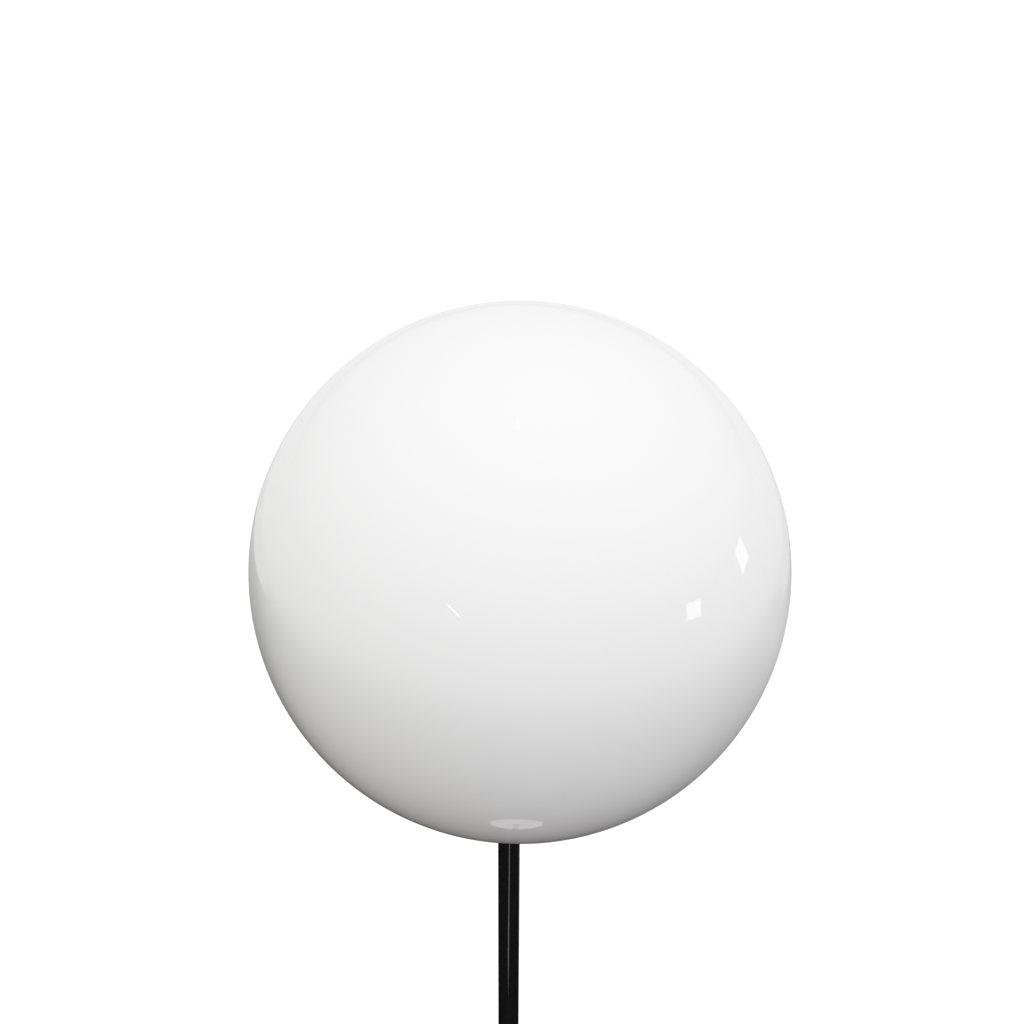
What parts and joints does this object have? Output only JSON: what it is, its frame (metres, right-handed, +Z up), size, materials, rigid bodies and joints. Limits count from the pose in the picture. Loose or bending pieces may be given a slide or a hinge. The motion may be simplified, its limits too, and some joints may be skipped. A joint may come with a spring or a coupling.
{
  "type": "globe floor lamp",
  "caption": "Floor lamp with an opal glass ball in a screw-clamped cup on a slim black stem, standing on a round weighted base.",
  "frame": {"origin": "on the floor, where the stem's axis meets it, in the middle of the base", "axes": "+Z up the stem, the lamp's front faces -Y and its mains lead's grommet is on +Y"},
  "size_m": [0.35, 0.3498, 1.506],
  "materials": {
    "opal_glass": "glossy opal glass",
    "black_lacquer": "gloss black lacquer",
    "white_lacquer": "gloss white lacquer",
    "iron": "rough casting, primed",
    "zinc_steel": "zinc plated",
    "nickel": "nickel plated",
    "brass": "turned",
    "bronze": "spring strip",
    "silicone": "soft, translucent white",
    "black_rubber": "matt",
    "felt": "pressed felt",
    "nylon": "turned nylon",
    "phenolic": "moulded, glossy",
    "ceramic": "glazed",
    "polyamide": "moulded",
    "lead_sheath": "extruded",
    "core_sheath": "extruded",
    "frosted_glass": "frosted",
    "black_glass": "fused",
    "clear_glass": "clear",
    "phosphor": "coated rods"
  },
  "bodies": {
    "stand": {"base_cover": "white_lacquer", "ballast": "iron", "felt_pad": "felt", "cord_grommet": "black_rubber", "terminal_block": "polyamide", "terminal_tubes": "brass", "terminal_screws": "zinc_steel", "base_rod": "zinc_steel", "base_washer": "zinc_steel", "base_nut": "zinc_steel", "foot_collar": "black_lacquer", "lower_tube": "black_lacquer", "upper_tube": "black_lacquer", "lower_tube_bushes": "zinc_steel", "upper_tube_bushes": "zinc_steel", "joiner_rod": "zinc_steel", "head_collar": "black_lacquer", "globe_cup": "black_lacquer", "globe_gasket": "silicone", "head_rod": "zinc_steel", "cup_washer": "zinc_steel", "cup_nut": "zinc_steel", "riser": "zinc_steel", "holder_cap": "phenolic", "holder_shell": "phenolic", "holder_core": "ceramic", "holder_sleeve": "nickel", "holder_spring": "bronze", "holder_terminals": "brass", "holder_screws": "zinc_steel", "inner_lead": "lead_sheath", "base_cores": "core_sheath", "holder_cores": "core_sheath"},
    "globe": {"globe": "opal_glass"},
    "bulb_tip": {"bulb_tip": "zinc_steel"},
    "bulb": {"bulb_glass": "frosted_glass", "bulb_cap": "nickel", "bulb_insulator": "black_glass", "bulb_post": "clear_glass", "bulb_filaments": "phosphor"},
    "clamp_tip_back": {"clamp_tip_back": "nylon"},
    "clamp_screw_back": {"clamp_screw_back": "black_lacquer"},
    "clamp_tip_left": {"clamp_tip_left": "nylon"},
    "clamp_screw_left": {"clamp_screw_left": "black_lacquer"},
    "clamp_tip_right": {"clamp_tip_right": "nylon"},
    "clamp_screw_right": {"clamp_screw_right": "black_lacquer"}
  },
  "joints": [
    {"name": "globe_lift", "type": "slide", "parent": "stand", "child": "globe", "axis": [0, 0, 1], "range_m": [0, 0.24]},
    {"name": "bulb_travel", "type": "slide", "parent": "stand", "child": "bulb_tip", "axis": [0, 0, 1], "range_m": [0, 0.01814]},
    {"name": "bulb_turn", "type": "hinge", "parent": "bulb_tip", "child": "bulb", "pos_m": [0, 0, 1.26202], "axis": [0, 0, 1], "range_deg": [0, 1800]},
    {"name": "clamp_travel_back", "type": "slide", "parent": "stand", "child": "clamp_tip_back", "axis": [0, 1, 0], "range_m": [0, 0.0042]},
    {"name": "clamp_turn_back", "type": "hinge", "parent": "clamp_tip_back", "child": "clamp_screw_back", "pos_m": [0, 0.0413, 1.1495], "axis": [0, 1, 0], "range_deg": [0, 2160.1]},
    {"name": "clamp_travel_left", "type": "slide", "parent": "stand", "child": "clamp_tip_left", "axis": [-0.866, -0.5, 0], "range_m": [0, 0.0042]},
    {"name": "clamp_turn_left", "type": "hinge", "parent": "clamp_tip_left", "child": "clamp_screw_left", "pos_m": [-0.03577, -0.02065, 1.1495], "axis": [-0.866, -0.5, 0], "range_deg": [0, 2160.1]},
    {"name": "clamp_travel_right", "type": "slide", "parent": "stand", "child": "clamp_tip_right", "axis": [0.866, -0.5, 0], "range_m": [0, 0.0042]},
    {"name": "clamp_turn_right", "type": "hinge", "parent": "clamp_tip_right", "child": "clamp_screw_right", "pos_m": [0.03577, -0.02065, 1.1495], "axis": [0.866, -0.5, 0], "range_deg": [0, 2160.1]}
  ],
  "couplings": [
    {"joint": "bulb_travel", "follows": "bulb_turn", "m_per_rad": 0.00057751},
    {"joint": "clamp_turn_back", "follows": "clamp_travel_back", "rad_per_m": 8976},
    {"joint": "clamp_turn_left", "follows": "clamp_travel_left", "rad_per_m": 8976},
    {"joint": "clamp_turn_right", "follows": "clamp_travel_right", "rad_per_m": 8976}
  ]
}
